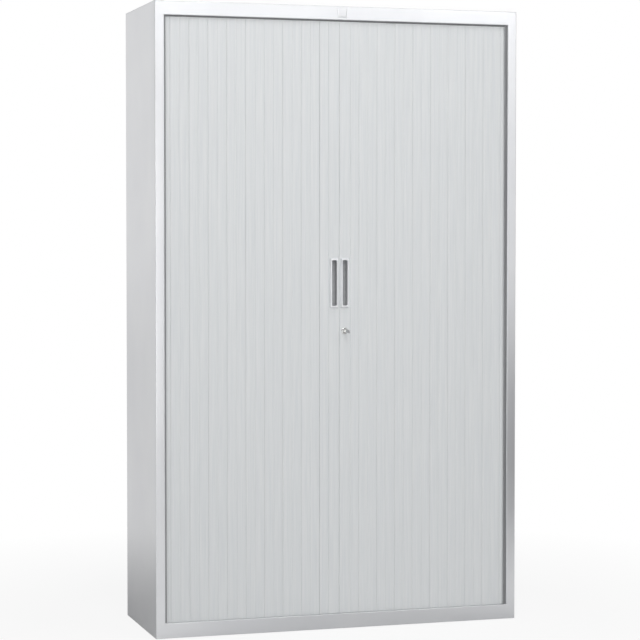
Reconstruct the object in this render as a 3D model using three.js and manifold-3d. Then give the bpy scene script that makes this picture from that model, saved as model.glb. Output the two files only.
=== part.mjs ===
// Tambour cupboard: a tall sheet-metal cabinet whose two curtains of plastic slats slide sideways
// and run round the front corners into the sides. Millimetres, +X right, +Y to the back, +Z up.

import * as THREE from "three";
import { mergeVertices } from "three/addons/utils/BufferGeometryUtils.js";
import Module from "manifold-3d";

// Carcass
const WIDTH = 1200;
const DEPTH = 430;
const HEIGHT = 1980;
const SHEET = 1.2; // thickness of all folded sheet metal
const FIT = 0.3; // gap between pieces that are fastened or rest on each other
const OVERRUN = 2; // how far a cut reaches past the face it opens
const FLOOR_GAP = 3; // lower edge of the carcass above the floor
const STILE_FACE = 30;
const TOP_RAIL_FACE = 43.5;
const BOTTOM_RAIL_FACE = 47;
const PAN_DROP = 11; // floor of the cabinet below the bottom rail's upper edge
const BACK_FLANGE = 20;
const HEM = 8; // folded lower edges of the bottom panel

// Curtains
const RECESS = 12; // slat faces behind the front face
const SLAT_THICKNESS = 8;
const SLAT_COUNT = 8; // flat slats on each side, without the lead slat and the corner slat
const LEAD_WIDTH = 65.8; // from the middle of the cupboard to the first joint
const LEAD_GROOVE = 36.5; // groove of the lead slat, from the middle of the cupboard
const LEAD_PROUD = 1; // how far the lead slat stands out of the others, front and back
const SEAM = 1; // gap between the two lead slats
const JOINT = 0.8; // gap that shows between two slats
const CHAMFER = 1; // front edges of each slat
const TONGUE_REACH = 3;
const TONGUE_THICKNESS = 2.4;
const GROOVE_WIDTH = 2; // shallow groove in the middle of each slat
const GROOVE_DEPTH = 1.2;
const HINGE_THICKNESS = 1.5; // plastic left at the living hinge behind that groove
const HINGE_SLIT = 1.4; // slit behind the living hinge
const HEAD_ROOM = 2.5; // slat's upper end under the bottom of its groove
const CORNER_LAND = 2; // straight start of the corner slat

// Tracks
const CORNER_RADIUS = 35.2; // middle of the curtain round a corner
const TRACK_PLAY = 0.9; // between a slat's face and its groove
const TRACK_WALL = 2.3;
const TOP_TRACK_HEIGHT = 22;
const TOP_TRACK_DEPTH = 16; // depth of the groove
const BOTTOM_TRACK_HEIGHT = 10.7;
const BOTTOM_TRACK_DEPTH = 7.7;
const CORNER_EASE = 10; // straight stretch of the wider groove before and after a corner
const BACK_RUN = 150; // straight end of the track behind the inner back
const ARC_STEPS = 12; // flat pieces in a quarter turn

// Lining and shelves
const LINING_LEAD = 3; // front edge of the lining before the corner's centre
const LINING_CORNER = 4; // start and end of its slanted back corner past the centre
const LINING_FLANGE = 18;
const SHELF_COUNT = 4;
const SLOTS_PER_SHELF = 4;
const SHELF_EDGE = 25; // height of its folded edges
const SHELF_SETBACK = 4; // front edge behind the lining's front edge
const SHELF_BACK_GAP = 4; // back edge before the lining's slanted corner
const BRACKET_THICKNESS = 1.5;
const BRACKET_FLANGE = 14;
const BRACKET_SETBACK = 12; // ends of a bracket inside the ends of its shelf
const BRACKET_TOP_GAP = 5; // upper edge below the shelf's surface
const SLOT_WIDTH = 4;
const SLOT_HEIGHT = 12;
const SLOT_BELOW = 13; // middle of a slot below the shelf's surface
const SLOT_INSET = 30; // slot column inside the ends of a bracket
const HOOK_PLAY = 0.5;
const HOOK_THICKNESS = 2;
const HOOK_DROP = 5; // how far the hook reaches down behind the lining

// Feet
const FOOT_INSET = 62; // from the side and front faces
const PAD_RADIUS = 17;
const PAD_HEIGHT = 7;
const NUT_RADIUS = 9;
const NUT_HEIGHT = 8;
const STUD_RADIUS = 5;
const FOOT_SIDES = 24;

// Blank plate on the top rail
const PLATE_SIDE = 30;
const PLATE_HEIGHT = 28;
const PLATE_THICKNESS = 1;
const PLATE_X = 6;

// Handles: a raised frame over a deep narrow cup
const HANDLE_X = 17.6; // middle of the handle from the middle of the cupboard
const HANDLE_Z = 1105;
const FRAME_PROUD = 7.5;
const FRAME_SLOPE = 3.5; // how far the frame's front edge draws in
const FRAME_RIM = 2.75; // flat rim beside the cup
const FRAME_END_RIM = 3.5; // flat rim above and below the cup
const CUP_WIDTH = 16.5;
const CUP_HEIGHT = 145;
const CUP_RADIUS = 4;
const CUP_WALL = 1.6;
const CUP_BEHIND = 7; // cup's back behind the lead slat's back

// Lock
const LOCK_X = 18.2;
const LOCK_Z = 952.5;
const COLLAR_RADIUS = 11;
const COLLAR_PROUD = 3;
const BARREL_RADIUS = 9;
const BARREL_BEHIND = 14; // barrel's end behind the lead slat's back
const PLUG_RADIUS = 6;
const PLUG_PLAY = 0.35;
const PLUG_INSET = 0.6; // plug's face behind the collar's face
const PLUG_TAIL = 1.5; // plug's end behind the barrel
const KEYWAY_WIDTH = 2.6;
const KEYWAY_HEIGHT = 9;
const KEYWAY_DEPTH = 24;
const LOCK_SIDES = 32;
const CAM_THICKNESS = 2.5;
const CAM_HUB_RADIUS = 8;
const CAM_WIDTH = 12;
const CAM_REACH = 39; // from the lock's axis to the tip
const CAM_TAB_LENGTH = 7;
const CAM_TAB_WIDTH = 6;
const CAM_TAB_DEPTH = 10; // how far the tab reaches forward

// Keeper on the other lead slat
const KEEPER_EDGE = 3.5; // from the middle of the cupboard
const KEEPER_WIDTH = 26;
const KEEPER_SHEET = 2.2;
const KEEPER_WALL = 9.5; // height of its walls off the slat
const KEEPER_BELOW = 5; // lower ends of its walls below the lock's axis
const KEEPER_ABOVE = 11;

// Key
const BLADE_THICKNESS = 1.8;
const BLADE_HEIGHT = 8;
const BLADE_IN = 22;
const BLADE_OUT = 14;
const HEAD_THICKNESS = 6;
const HEAD_HEIGHT = 11.5;
const HEAD_LENGTH = 38;
const HEAD_BEVEL = 1;

// Places that follow from the sizes
const frontY = -DEPTH / 2;
const backY = DEPTH / 2;
const openingX = WIDTH / 2 - STILE_FACE;
const liningX = openingX + SHEET; // outer face of the lining
const channel = WIDTH / 2 - SHEET - liningX; // clear width that the curtain runs in
const channelX = liningX + channel / 2;
const curtainY = frontY + RECESS + SLAT_THICKNESS / 2;
const backPanelY = backY - SHEET - FIT - SHEET; // inner face of the back panel
const backCurtainY = backPanelY - channel / 2;
const innerBackY = backPanelY - channel - SHEET; // front face of the inner back
const cornerX = channelX - CORNER_RADIUS;
const frontCornerY = curtainY + CORNER_RADIUS;
const backCornerY = backCurtainY - CORNER_RADIUS;
const slatPitch = (cornerX - LEAD_WIDTH) / SLAT_COUNT;
const stave = slatPitch / 2;
const grooveHalf = SLAT_THICKNESS / 2 + TRACK_PLAY;
const trackHalf = grooveHalf + TRACK_WALL;
// Each stave stays straight in the corner, so its middle comes this far inside the arc.
const sagitta = CORNER_RADIUS - Math.sqrt(CORNER_RADIUS ** 2 - (stave / 2) ** 2);
const grooveInnerRadius = CORNER_RADIUS - grooveHalf - sagitta;
const lipY = curtainY - trackHalf - FIT; // inner ends of the folded front lips
const railTopZ = FLOOR_GAP + BOTTOM_RAIL_FACE;
const panZ = railTopZ - PAN_DROP;
const roofZ = HEIGHT - SHEET; // underside of the top panel
const bottomTrackZ = panZ + FIT;
const bottomTrackTop = bottomTrackZ + BOTTOM_TRACK_HEIGHT;
const topTrackTop = roofZ - FIT;
const topTrackZ = topTrackTop - TOP_TRACK_HEIGHT;
const slatBottom = bottomTrackTop - BOTTOM_TRACK_DEPTH + FIT;
const slatTop = topTrackZ + TOP_TRACK_DEPTH - HEAD_ROOM;
const leadFrontY = curtainY - SLAT_THICKNESS / 2 - LEAD_PROUD;
const leadBackY = curtainY + SLAT_THICKNESS / 2 + LEAD_PROUD;
const compartment = (roofZ - panZ) / (SHELF_COUNT + 1);
const shelfFrontY = frontCornerY - LINING_LEAD + SHELF_SETBACK;
const shelfBackY = backCornerY + LINING_CORNER - SHELF_BACK_GAP;
const bracketX = openingX - FIT; // outer face of a bracket
const shelfX = bracketX - BRACKET_THICKNESS - FIT;
const bracketFrontY = shelfFrontY + BRACKET_SETBACK;
const bracketBackY = shelfBackY - BRACKET_SETBACK;
const slotColumns = [bracketFrontY + SLOT_INSET, bracketBackY - SLOT_INSET];
const plugFrontY = leadFrontY - FIT - COLLAR_PROUD + PLUG_INSET;
const keyTipY = plugFrontY - BLADE_OUT - HEAD_LENGTH;
// The key is the foremost piece, so the middle of the whole depth lies before the carcass's middle.
const shiftY = -(keyTipY + backY) / 2;

const paint = { color: 0xd7d9db, roughness: 0.35, metalness: 0.5 };
const slatGrey = { color: 0xd6d9da, roughness: 0.5, metalness: 0 };
const trackGrey = { color: 0xb9bcbe, roughness: 0.6, metalness: 0 };
const silver = { color: 0xe4e6e8, roughness: 0.3, metalness: 0.6 };
const darkGrey = { color: 0x8f9193, roughness: 0.5, metalness: 0 };
const steel = { color: 0xc4c6c8, roughness: 0.3, metalness: 1 };
const rubber = { color: 0x2a2b2c, roughness: 0.8, metalness: 0 };

const wasm = await Module();
wasm.setup();

// A closed three.js geometry as a solid that can be joined and cut.
function solid(geometry) {
  const bare = geometry.index ? geometry.toNonIndexed() : geometry.clone();
  bare.deleteAttribute("normal");
  bare.deleteAttribute("uv");
  const merged = mergeVertices(bare);
  return new wasm.Manifold(
    new wasm.Mesh({
      numProp: 3,
      vertProperties: merged.attributes.position.array,
      triVerts: new Uint32Array(merged.index.array),
    }),
  );
}

// The joined and cut solid as a three.js geometry again.
function geometryOf(made) {
  const mesh = made.getMesh();
  const geometry = new THREE.BufferGeometry();
  geometry.setAttribute("position", new THREE.BufferAttribute(new Float32Array(mesh.vertProperties), 3));
  geometry.setIndex(new THREE.BufferAttribute(new Uint32Array(mesh.triVerts), 1));
  geometry.computeVertexNormals();
  return geometry;
}

const joined = (...geometries) => geometries.map(solid).reduce((all, one) => all.add(one));
const cut = (made, ...geometries) => geometries.map(solid).reduce((all, one) => all.subtract(one), made);

// A block between two corners.
function block(low, high) {
  const size = high.map((value, axis) => value - low[axis]);
  const geometry = new THREE.BoxGeometry(...size);
  return geometry.translate(...low.map((value, axis) => value + size[axis] / 2));
}

// An outline in plan, pulled up from one height to another.
function upright(outline, bottom, top) {
  const shape = new THREE.Shape(outline.map(([x, y]) => new THREE.Vector2(x, y)));
  const options = { depth: top - bottom, bevelEnabled: false };
  return new THREE.ExtrudeGeometry(shape, options).translate(0, 0, bottom);
}

// An outline of (y, z) points, pulled across from one x to another.
function crosswise(outline, left, right) {
  const shape = new THREE.Shape(outline.map(([y, z]) => new THREE.Vector2(y, z)));
  const geometry = new THREE.ExtrudeGeometry(shape, { depth: right - left, bevelEnabled: false });
  const turn = new THREE.Matrix4().makeBasis(
    new THREE.Vector3(0, 1, 0),
    new THREE.Vector3(0, 0, 1),
    new THREE.Vector3(1, 0, 0),
  );
  return geometry.applyMatrix4(turn).translate(left, 0, 0);
}

// The outline of a folded strip of even thickness, from the middle line of its section.
function folded(line, thickness) {
  const points = line.map(([a, b]) => new THREE.Vector2(a, b));
  const sides = points.slice(1).map((point, i) => {
    const along = point.clone().sub(points[i]).normalize();
    return new THREE.Vector2(-along.y, along.x);
  });
  const offset = (sign) =>
    points.map((point, i) => {
      const before = sides[Math.max(i - 1, 0)];
      const after = sides[Math.min(i, sides.length - 1)];
      const mitre = before.clone().add(after).normalize();
      const reach = (sign * thickness) / 2 / mitre.dot(after);
      return point.clone().addScaledVector(mitre, reach).toArray();
    });
  return [...offset(1), ...offset(-1).reverse()];
}

// A ring or round bar about the Y axis through (x, z), from its closed profile of [radius, y].
function turned(profile, x, z, steps) {
  const points = profile.map(([radius, y]) => new THREE.Vector2(radius, y));
  const area = THREE.ShapeUtils.area(points);
  if (area < 0) points.reverse();
  if (points[0].x > 0) points.push(points[0].clone());
  return new THREE.LatheGeometry(points, steps).translate(x, 0, z);
}

const mirrored = (outline, side) => outline.map(([x, y]) => [side * x, y]);
const cupboard = new THREE.Group();
cupboard.position.y = shiftY;

function place(name, shape, look) {
  const geometry = shape.isBufferGeometry ? shape : geometryOf(shape);
  const mesh = new THREE.Mesh(geometry, new THREE.MeshStandardMaterial(look));
  mesh.name = name;
  cupboard.add(mesh);
  return mesh;
}

function sidePanel(side) {
  const half = SHEET / 2;
  const line = [
    [openingX + half, lipY],
    [openingX + half, frontY + half],
    [WIDTH / 2 - half, frontY + half],
    [WIDTH / 2 - half, backY - half],
    [WIDTH / 2 - BACK_FLANGE, backY - half],
  ];
  return upright(mirrored(folded(line, SHEET), side), FLOOR_GAP, roofZ - FIT);
}

function topPanel() {
  const half = SHEET / 2;
  const line = [
    [lipY, HEIGHT - TOP_RAIL_FACE + half],
    [frontY + half, HEIGHT - TOP_RAIL_FACE + half],
    [frontY + half, HEIGHT - half],
    [backY - half, HEIGHT - half],
    [backY - half, HEIGHT - BACK_FLANGE],
  ];
  const railX = openingX - FIT;
  const flangeX = WIDTH / 2 - BACK_FLANGE - FIT;
  const rail = crosswise(folded(line.slice(0, 3), SHEET), -railX, railX);
  const flange = block([-flangeX, backY - SHEET, HEIGHT - BACK_FLANGE], [flangeX, backY, HEIGHT]);
  const roof = block([-WIDTH / 2, frontY, roofZ], [WIDTH / 2, backY, HEIGHT]);
  return joined(roof, rail, flange);
}

function bottomPanel() {
  const half = SHEET / 2;
  const stepY = lipY - half;
  const line = [
    [frontY + HEM, FLOOR_GAP + half],
    [frontY + half, FLOOR_GAP + half],
    [frontY + half, railTopZ - half],
    [stepY, railTopZ - half],
    [stepY, panZ - half],
    [backPanelY - FIT - half, panZ - half],
    [backPanelY - FIT - half, FLOOR_GAP + half],
    [backPanelY - FIT - HEM, FLOOR_GAP + half],
  ];
  const railX = openingX - FIT;
  const panX = WIDTH / 2 - SHEET - FIT;
  const rail = crosswise(folded(line, SHEET), -railX, railX);
  const pan = block([-panX, lipY + FIT, panZ - SHEET], [panX, backPanelY - FIT, panZ]);
  return joined(rail, pan);
}

function backPanels() {
  const outerX = WIDTH / 2 - SHEET - FIT;
  place(
    "back_panel",
    block([-outerX, backPanelY, FLOOR_GAP], [outerX, backPanelY + SHEET, roofZ - FIT]),
    paint,
  );
  const innerX = cornerX + LINING_CORNER - FIT - SHEET;
  place(
    "inner_back_panel",
    block([-innerX, innerBackY, panZ + FIT], [innerX, innerBackY + SHEET, roofZ - FIT]),
    paint,
  );
}

function lining(side) {
  const middleX = liningX - SHEET / 2;
  const flangeY = innerBackY - FIT - SHEET / 2;
  const line = [
    [middleX, frontCornerY - LINING_LEAD],
    [middleX, backCornerY + LINING_CORNER],
    [cornerX + LINING_CORNER, flangeY],
    [cornerX + LINING_CORNER - LINING_FLANGE, flangeY],
  ];
  const sheet = upright(mirrored(folded(line, SHEET), side), panZ + FIT, roofZ - FIT);
  const slots = [];
  const slotPitch = compartment / SLOTS_PER_SHELF;
  for (let row = 1; row < SLOTS_PER_SHELF * (SHELF_COUNT + 1); row++)
    for (const y of slotColumns) {
      const z = panZ + row * slotPitch - SLOT_BELOW;
      slots.push(
        new THREE.BoxGeometry(SHEET + OVERRUN, SLOT_WIDTH, SLOT_HEIGHT).translate(side * middleX, y, z),
      );
    }
  return cut(solid(sheet), ...slots);
}

// One side of a track's path in plan: front, front corner, side, back corner, back. On its inner
// side the radius is smaller than the offset asks for, which makes the groove wider at the corners.
function trackSide(offset, radius) {
  const inset = CORNER_RADIUS - radius;
  const points = [
    [FIT / 2, curtainY + offset],
    [cornerX - CORNER_EASE, curtainY + offset],
    [cornerX - CORNER_EASE, curtainY + inset],
  ];
  const bend = (centreY, from) => {
    for (let i = 0; i <= ARC_STEPS; i++) {
      const angle = from + ((Math.PI / 2) * i) / ARC_STEPS;
      points.push([cornerX + radius * Math.cos(angle), centreY + radius * Math.sin(angle)]);
    }
  };
  bend(frontCornerY, -Math.PI / 2);
  for (const y of [frontCornerY + CORNER_EASE, backCornerY - CORNER_EASE])
    points.push([channelX - offset, y]);
  points.splice(-2, 0, [channelX - inset, frontCornerY + CORNER_EASE]);
  points.push([channelX - inset, backCornerY - CORNER_EASE]);
  bend(backCornerY, 0);
  points.push(
    [cornerX - CORNER_EASE, backCurtainY - inset],
    [cornerX - CORNER_EASE, backCurtainY - offset],
    [cornerX - BACK_RUN, backCurtainY - offset],
  );
  const apart = ([x0, y0], [x1, y1]) => Math.hypot(x1 - x0, y1 - y0) > FIT / 10;
  return points.filter((point, i) => i === 0 || apart(point, points[i - 1]));
}

function track(side, bottom, top, grooveBottom, grooveTop) {
  const bar = [
    ...trackSide(-trackHalf, CORNER_RADIUS + trackHalf),
    ...trackSide(trackHalf, grooveInnerRadius - TRACK_WALL).reverse(),
  ];
  const groove = [
    ...trackSide(-grooveHalf, CORNER_RADIUS + grooveHalf),
    ...trackSide(grooveHalf, grooveInnerRadius).reverse(),
  ];
  // The groove is open at the middle of the front, where the two tracks meet, and closed at its
  // back end.
  const open = groove.map(([x, y]) => [x === FIT / 2 ? -OVERRUN : x, y]);
  const closed = open.map(([x, y]) => [x === cornerX - BACK_RUN ? x + TRACK_WALL : x, y]);
  return cut(
    solid(upright(mirrored(bar, side), bottom, top)),
    upright(mirrored(closed, side), grooveBottom, grooveTop),
  );
}

// The section of one slat in plan, from start to end, with its groove and living hinge.
function slatSection(start, end, groove, proud, tongue) {
  const front = curtainY - SLAT_THICKNESS / 2 - proud;
  const back = curtainY + SLAT_THICKNESS / 2 + proud;
  const tongueHalf = TONGUE_THICKNESS / 2;
  const slotHalf = tongueHalf + FIT;
  const slotX = end + JOINT / 2 - TONGUE_REACH - FIT;
  const slitY = front + GROOVE_DEPTH + HINGE_THICKNESS;
  const tongueX = start - JOINT / 2 - TONGUE_REACH;
  const inner = tongue
    ? [
        [start, curtainY + tongueHalf],
        [tongueX, curtainY + tongueHalf],
        [tongueX, curtainY - tongueHalf],
        [start, curtainY - tongueHalf],
      ]
    : [];
  return [
    [start, back],
    ...inner,
    [start, front + CHAMFER],
    [start + CHAMFER, front],
    [groove - GROOVE_WIDTH / 2, front],
    [groove, front + GROOVE_DEPTH],
    [groove + GROOVE_WIDTH / 2, front],
    [end - CHAMFER, front],
    [end, front + CHAMFER],
    [end, curtainY - slotHalf],
    [slotX, curtainY - slotHalf],
    [slotX, curtainY + slotHalf],
    [end, curtainY + slotHalf],
    [end, back],
    [groove + HINGE_SLIT / 2, back],
    [groove + HINGE_SLIT / 2, slitY],
    [groove - HINGE_SLIT / 2, slitY],
    [groove - HINGE_SLIT / 2, back],
  ];
}

function slat(side, index) {
  const start = LEAD_WIDTH + (index - 1) * slatPitch;
  const section = slatSection(start + JOINT / 2, start + slatPitch - JOINT / 2, start + stave, 0, true);
  return upright(mirrored(section, side), slatBottom, slatTop);
}

// The corner slat bends at its living hinge: each stave is a chord of the corner's arc.
function cornerSlat(side) {
  const turn = 2 * Math.asin(stave / 2 / CORNER_RADIUS);
  const middle = [
    cornerX + CORNER_RADIUS * Math.sin(turn),
    frontCornerY - CORNER_RADIUS * Math.cos(turn),
  ];
  const reach = Math.sqrt(stave ** 2 - (channelX - middle[0]) ** 2);
  const line = [
    [cornerX + JOINT / 2, curtainY],
    [cornerX + JOINT / 2 + CORNER_LAND, curtainY],
    middle,
    [channelX, middle[1] + reach],
  ];
  const plate = folded(line, SLAT_THICKNESS);
  const tongue = [
    [cornerX - TONGUE_REACH, curtainY - TONGUE_THICKNESS / 2],
    [cornerX + SLAT_THICKNESS / 2, curtainY - TONGUE_THICKNESS / 2],
    [cornerX + SLAT_THICKNESS / 2, curtainY + TONGUE_THICKNESS / 2],
    [cornerX - TONGUE_REACH, curtainY + TONGUE_THICKNESS / 2],
  ];
  return joined(
    upright(mirrored(plate, side), slatBottom, slatTop),
    upright(mirrored(tongue, side), slatBottom, slatTop),
  );
}

// The lead slat is thicker between the tracks and has the cut-out for the handle cup.
function leadSlat(side) {
  const start = SEAM / 2;
  const end = LEAD_WIDTH - JOINT / 2;
  const thick = slatSection(start, end, LEAD_GROOVE, LEAD_PROUD, false);
  const thin = slatSection(start, end, LEAD_GROOVE, 0, false);
  const body = joined(
    upright(mirrored(thick, side), bottomTrackTop + LEAD_PROUD, topTrackZ - LEAD_PROUD),
    upright(mirrored(thin, side), slatBottom, slatTop),
  );
  const opening = roundedBar(
    side * HANDLE_X,
    CUP_WIDTH + 2 * (CUP_WALL + FIT),
    CUP_HEIGHT + 2 * (CUP_WALL + FIT),
    CUP_RADIUS + CUP_WALL + FIT,
    leadFrontY - OVERRUN,
    leadBackY + OVERRUN,
  );
  if (side < 0) return cut(body, opening);
  const bore = turned(
    [
      [0, leadFrontY - OVERRUN],
      [BARREL_RADIUS + FIT, leadFrontY - OVERRUN],
      [BARREL_RADIUS + FIT, leadBackY + OVERRUN],
      [0, leadBackY + OVERRUN],
    ],
    LOCK_X,
    LOCK_Z,
    LOCK_SIDES,
  );
  return cut(body, opening, bore);
}

// A bar with rounded corners in front view, from one depth to another, at the handle's height.
function roundedBar(x, width, height, radius, from, to) {
  const shape = new THREE.Shape();
  const [w, h] = [width / 2, height / 2];
  shape.moveTo(-w, -h + radius);
  shape.absarc(-w + radius, h - radius, radius, Math.PI, Math.PI / 2, true);
  shape.absarc(w - radius, h - radius, radius, Math.PI / 2, 0, true);
  shape.absarc(w - radius, -h + radius, radius, 0, -Math.PI / 2, true);
  shape.absarc(-w + radius, -h + radius, radius, -Math.PI / 2, -Math.PI, true);
  const options = { depth: to - from, bevelEnabled: false, curveSegments: 4 };
  const geometry = new THREE.ExtrudeGeometry(shape, options);
  return geometry.rotateX(Math.PI / 2).translate(x, to, HANDLE_Z);
}

function handle(side, name) {
  const x = side * HANDLE_X;
  const seat = leadFrontY - FIT;
  const face = seat - FRAME_PROUD;
  const width = CUP_WIDTH + 2 * (FRAME_RIM + FRAME_SLOPE);
  const height = CUP_HEIGHT + 2 * (FRAME_END_RIM + FRAME_SLOPE);
  const base = new THREE.BoxGeometry(width, FRAME_PROUD, height);
  const places = base.attributes.position;
  for (let i = 0; i < places.count; i++)
    if (places.getY(i) < 0) {
      places.setX(i, places.getX(i) - Math.sign(places.getX(i)) * FRAME_SLOPE);
      places.setZ(i, places.getZ(i) - Math.sign(places.getZ(i)) * FRAME_SLOPE);
    }
  base.translate(x, seat - FRAME_PROUD / 2, HANDLE_Z);
  const hole = roundedBar(x, CUP_WIDTH, CUP_HEIGHT, CUP_RADIUS, face - OVERRUN, seat + OVERRUN);
  place(`${name}_handle_frame`, cut(solid(base), hole), silver);

  const cupBack = leadBackY + CUP_BEHIND;
  const shell = roundedBar(
    x,
    CUP_WIDTH + 2 * CUP_WALL,
    CUP_HEIGHT + 2 * CUP_WALL,
    CUP_RADIUS + CUP_WALL,
    leadFrontY,
    cupBack,
  );
  const [from, to] = [leadFrontY - OVERRUN, cupBack - CUP_WALL];
  const hollow = roundedBar(x, CUP_WIDTH, CUP_HEIGHT, CUP_RADIUS, from, to);
  place(`${name}_handle_cup`, cut(solid(shell), hollow), darkGrey);
}

function lock() {
  const barrelBack = leadBackY + BARREL_BEHIND;
  const seat = leadFrontY - FIT;
  const bore = PLUG_RADIUS + PLUG_PLAY;
  const housing = [
    [bore, seat - COLLAR_PROUD],
    [COLLAR_RADIUS - COLLAR_PROUD / 2, seat - COLLAR_PROUD],
    [COLLAR_RADIUS, seat - COLLAR_PROUD / 2],
    [COLLAR_RADIUS, seat],
    [BARREL_RADIUS, seat],
    [BARREL_RADIUS, barrelBack],
    [bore, barrelBack],
  ];
  place("lock_housing", turned(housing, LOCK_X, LOCK_Z, LOCK_SIDES), steel);

  const plugBack = barrelBack + PLUG_TAIL;
  const plug = turned(
    [
      [0, plugFrontY],
      [PLUG_RADIUS, plugFrontY],
      [PLUG_RADIUS, plugBack],
      [0, plugBack],
    ],
    LOCK_X,
    LOCK_Z,
    LOCK_SIDES,
  );
  const keyway = block(
    [LOCK_X - KEYWAY_WIDTH / 2, plugFrontY - OVERRUN, LOCK_Z - KEYWAY_HEIGHT / 2],
    [LOCK_X + KEYWAY_WIDTH / 2, plugFrontY + KEYWAY_DEPTH, LOCK_Z + KEYWAY_HEIGHT / 2],
  );
  place("lock_plug", cut(solid(plug), keyway), steel);

  // The cam hangs down when unlocked. A quarter turn brings its tab behind the keeper's wall.
  const camFront = plugBack + FIT;
  const camBack = camFront + CAM_THICKNESS;
  const hub = turned(
    [
      [0, camFront],
      [CAM_HUB_RADIUS, camFront],
      [CAM_HUB_RADIUS, camBack],
      [0, camBack],
    ],
    LOCK_X,
    LOCK_Z,
    LOCK_SIDES,
  );
  const arm = block(
    [LOCK_X - CAM_WIDTH / 2, camFront, LOCK_Z - CAM_REACH],
    [LOCK_X + CAM_WIDTH / 2, camBack, LOCK_Z],
  );
  const tab = block(
    [LOCK_X - CAM_TAB_WIDTH / 2, camFront - CAM_TAB_DEPTH, LOCK_Z - CAM_REACH],
    [LOCK_X + CAM_TAB_WIDTH / 2, camBack, LOCK_Z - CAM_REACH + CAM_TAB_LENGTH],
  );
  place("lock_cam", joined(hub, arm, tab), steel);

  const keeperSeat = leadBackY + FIT;
  const keeperOuter = KEEPER_EDGE + KEEPER_WIDTH;
  const bottom = LOCK_Z - KEEPER_BELOW;
  const top = LOCK_Z + KEEPER_ABOVE;
  const plate = block(
    [-keeperOuter, keeperSeat, bottom],
    [-KEEPER_EDGE, keeperSeat + KEEPER_SHEET, top],
  );
  const walls = [
    [-KEEPER_EDGE - KEEPER_SHEET, -KEEPER_EDGE],
    [-keeperOuter, -keeperOuter + KEEPER_SHEET],
  ].map(([from, to]) => block([from, keeperSeat, bottom], [to, keeperSeat + KEEPER_WALL, top]));
  const bridge = block(
    [-keeperOuter, keeperSeat, top - KEEPER_SHEET],
    [-KEEPER_EDGE, keeperSeat + KEEPER_WALL, top],
  );
  place("lock_keeper", joined(plate, bridge, ...walls), steel);

  const headY = plugFrontY - BLADE_OUT;
  const blade = block(
    [LOCK_X - BLADE_THICKNESS / 2, headY, LOCK_Z - BLADE_HEIGHT / 2],
    [LOCK_X + BLADE_THICKNESS / 2, plugFrontY + BLADE_IN, LOCK_Z + BLADE_HEIGHT / 2],
  );
  place("key_blade", blade, steel);
  const [y, z] = [HEAD_LENGTH / 2, HEAD_HEIGHT / 2];
  const corner = HEAD_HEIGHT / 4;
  const outline = [
    [-y, -z + corner],
    [-y + corner, -z],
    [y - FIT - HEAD_BEVEL, -z],
    [y - FIT, -z + HEAD_BEVEL],
    [y - FIT, z - HEAD_BEVEL],
    [y - FIT - HEAD_BEVEL, z],
    [-y + corner, z],
    [-y, z - corner],
  ];
  const head = crosswise(outline, -HEAD_THICKNESS / 2, HEAD_THICKNESS / 2);
  place("key_head", head.translate(LOCK_X, headY - y, LOCK_Z), darkGrey);
}

function shelf(index) {
  const top = panZ + index * compartment;
  const outer = block([-shelfX, shelfFrontY, top - SHELF_EDGE], [shelfX, shelfBackY, top]);
  const inner = block(
    [-shelfX + SHEET, shelfFrontY + SHEET, top - SHELF_EDGE - OVERRUN],
    [shelfX - SHEET, shelfBackY - SHEET, top - SHEET],
  );
  return cut(solid(outer), inner);
}

// An angle that carries one end of a shelf, hooked into two slots of the lining.
function bracket(side, index) {
  const top = panZ + index * compartment;
  const seat = top - SHELF_EDGE - FIT;
  const slotZ = top - SLOT_BELOW;
  const bottom = seat - BRACKET_THICKNESS;
  const pieces = [
    [[bracketX - BRACKET_THICKNESS, bottom], [bracketX, top - BRACKET_TOP_GAP]],
    [[bracketX - BRACKET_FLANGE, bottom], [bracketX, seat]],
  ].map(([[x0, z0], [x1, z1]]) => block([x0, bracketFrontY, z0], [x1, bracketBackY, z1]));
  const hookX = liningX + HOOK_PLAY;
  const tongueHalf = SLOT_WIDTH / 2 - HOOK_PLAY;
  const hookHalf = SLOT_HEIGHT / 2 - HOOK_PLAY;
  for (const y of slotColumns) {
    const start = [bracketX - BRACKET_THICKNESS, y - tongueHalf, slotZ - hookHalf];
    const tip = [hookX, y - tongueHalf, slotZ - SLOT_HEIGHT / 2 - HOOK_DROP];
    pieces.push(
      block(start, [hookX + HOOK_THICKNESS, y + tongueHalf, slotZ + hookHalf]),
      block(tip, [hookX + HOOK_THICKNESS, y + tongueHalf, slotZ]),
    );
  }
  const made = geometryOf(joined(...pieces));
  return side > 0 ? made : geometryOf(solid(made).mirror([1, 0, 0]));
}

function foot(sideX, sideY) {
  const top = panZ - SHEET - FIT;
  const profile = [
    [0, 0],
    [PAD_RADIUS, 0],
    [PAD_RADIUS, PAD_HEIGHT / 2],
    [NUT_RADIUS, PAD_HEIGHT],
    [NUT_RADIUS, PAD_HEIGHT + NUT_HEIGHT],
    [STUD_RADIUS, PAD_HEIGHT + NUT_HEIGHT],
    [STUD_RADIUS, top],
    [0, top],
  ];
  const geometry = turned(profile, 0, 0, FOOT_SIDES).rotateX(Math.PI / 2);
  return geometry.translate(sideX * (WIDTH / 2 - FOOT_INSET), sideY * (DEPTH / 2 - FOOT_INSET), 0);
}

function blankPlate() {
  const z = HEIGHT - TOP_RAIL_FACE / 2;
  const back = frontY - FIT;
  return block(
    [PLATE_X - PLATE_SIDE / 2, back - PLATE_THICKNESS, z - PLATE_HEIGHT / 2],
    [PLATE_X + PLATE_SIDE / 2, back, z + PLATE_HEIGHT / 2],
  );
}

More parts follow.
